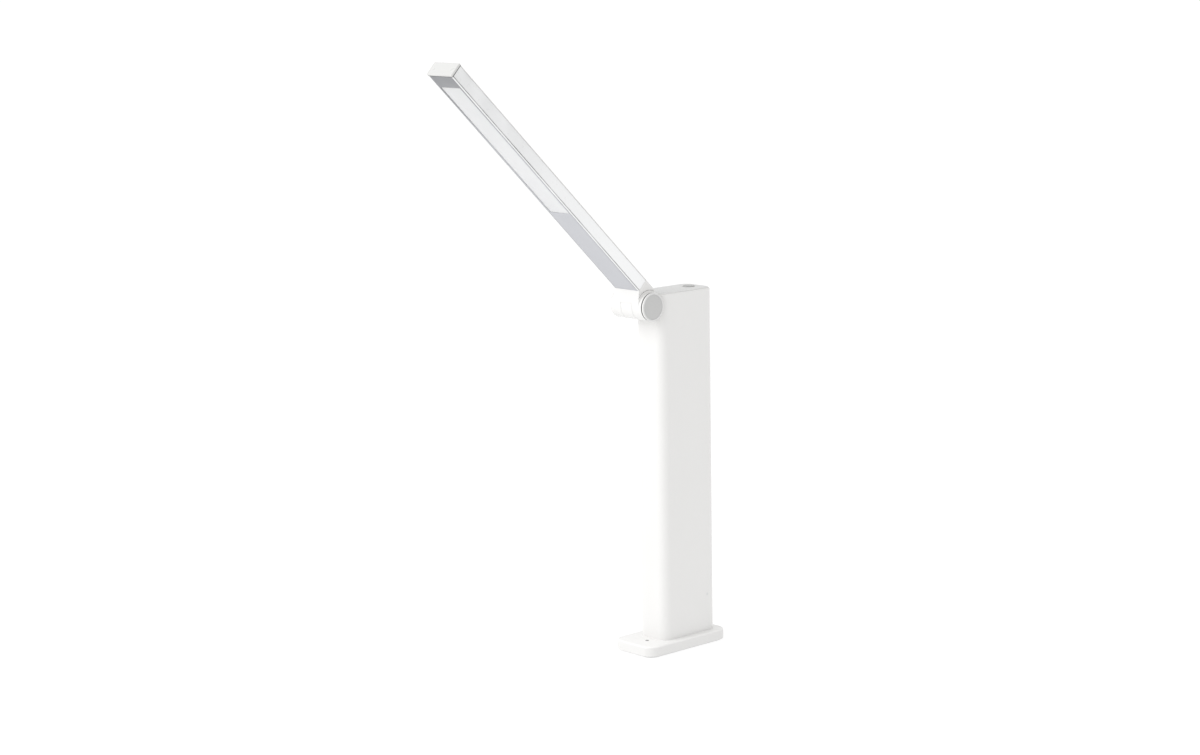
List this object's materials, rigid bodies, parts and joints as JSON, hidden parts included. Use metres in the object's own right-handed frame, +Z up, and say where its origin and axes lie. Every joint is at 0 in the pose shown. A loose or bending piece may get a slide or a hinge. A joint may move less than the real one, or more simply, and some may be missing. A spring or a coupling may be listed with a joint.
{
  "type": "folding led desk lamp",
  "caption": "Cordless folding desk lamp with a straight light arm on a friction hinge, a flat battery column with a round button, and a weighted base.",
  "frame": {"origin": "middle of the underside of the base, on the table", "axes": "+X along the hinge towards the side with the charge light, +Y from the front of the base to its back, +Z up; the arm reaches forward towards -Y"},
  "size_m": [0.04, 0.2412, 0.428],
  "materials": {
    "white_shell": "satin white moulding",
    "cap_grey": "fine matt pale grey",
    "button_grey": "fine matt grey",
    "disc_grey": "satin grey",
    "arm_white": "fine white powder coat",
    "panel_grey": "matt grey",
    "diffuser_white": "milky translucent white",
    "light_seal": "milky translucent white",
    "rubber_grey": "soft matt rubber",
    "steel_plate": "bare rolled steel",
    "steel_bright": "bright zinc plated",
    "frame_white": "plain moulding",
    "cell_green": "shrink sleeve",
    "board_green": "solder mask",
    "board_white": "white solder mask",
    "chip_black": "moulded epoxy",
    "led_yellow": "phosphor gel",
    "lead_black": "insulated wire"
  },
  "bodies": {
    "stand": {"base_shell": "white_shell", "ballast_plate": "steel_plate", "base_cover": "frame_white", "foot_pad": "rubber_grey", "base_screws": "steel_bright", "base_plug": "rubber_grey", "column_screws": "steel_bright", "column_shell": "white_shell", "column_foot": "frame_white", "inner_frame": "frame_white", "battery_cells": "cell_green", "battery_tabs": "steel_bright", "main_board": "board_green", "board_components": "chip_black", "board_screws": "steel_bright", "charge_port": "steel_bright", "port_tongue": "chip_black", "charge_light": "light_seal", "top_cap": "cap_grey", "power_switch": "chip_black", "switch_board": "board_green", "cap_screws": "steel_bright", "hinge_bracket": "white_shell", "bracket_screws": "steel_bright", "hinge_pin": "steel_bright", "hinge_nut": "steel_bright", "friction_washers": "steel_bright", "column_lead": "lead_black"},
    "arm": {"hinge_trim_rings": "white_shell", "hinge_cap_right": "white_shell", "hinge_cap_left": "white_shell", "hinge_discs": "disc_grey", "arm_knuckle": "white_shell", "knuckle_screws": "steel_bright", "arm_channel": "arm_white", "arm_top_cover": "white_shell", "arm_end_cap": "white_shell", "light_panel": "panel_grey", "diffuser": "diffuser_white", "light_tray": "board_white", "led_board": "board_white", "leds": "led_yellow", "arm_lead": "lead_black"},
    "button": {"power_button": "button_grey", "switch_plunger": "chip_black"}
  },
  "joints": [
    {"name": "arm_fold", "type": "hinge", "parent": "stand", "child": "arm", "pos_m": [0, -0.0294, 0.251], "axis": [1, 0, 0], "range_deg": [-16, 134]},
    {"name": "button_press", "type": "slide", "parent": "stand", "child": "button", "axis": [0, 0, -1], "range_m": [0, 0.0005], "stiffness_N_per_m": 1500}
  ]
}
